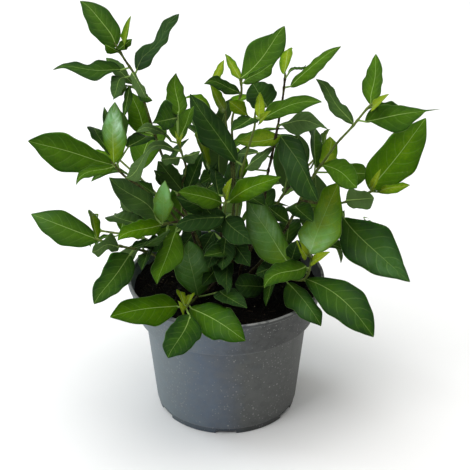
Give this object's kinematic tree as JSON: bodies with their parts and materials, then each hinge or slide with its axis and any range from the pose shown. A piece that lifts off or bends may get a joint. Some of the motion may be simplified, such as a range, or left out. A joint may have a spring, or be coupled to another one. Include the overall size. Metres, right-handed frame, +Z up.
{
  "type": "potted laurustinus shrub",
  "caption": "Young evergreen laurustinus with glossy opposite leaves on woody stems, growing in a round grey plastic nursery pot filled with soil.",
  "frame": {"origin": "middle of the pot's underside, on the flat pad that the pot stands on", "axes": "+Z up along the pot's axis, -Y towards the front that the picture shows, +X to its right"},
  "size_m": [0.3401, 0.2815, 0.356],
  "materials": {
    "pot_plastic": "matte moulded grey plastic with dust and fine scuffs",
    "soil": "damp dark peat with fibres and bark chips",
    "foliage": "glossy leathery green leaves on brown woody stems"
  },
  "bodies": {
    "root": {"pot": "pot_plastic", "soil": "soil", "stem_top_left": "foliage", "stem_left": "foliage", "stem_low_left": "foliage", "stem_front": "foliage", "stem_center": "foliage", "stem_top": "foliage", "stem_top_back": "foliage", "stem_top_right": "foliage", "stem_right": "foliage", "stem_low_right": "foliage", "stem_rear_left": "foliage", "stem_rear_low_left": "foliage", "stem_rear": "foliage", "stem_rear_low": "foliage", "stem_rear_right": "foliage", "stem_rear_low_right": "foliage"}
  },
  "joints": []
}
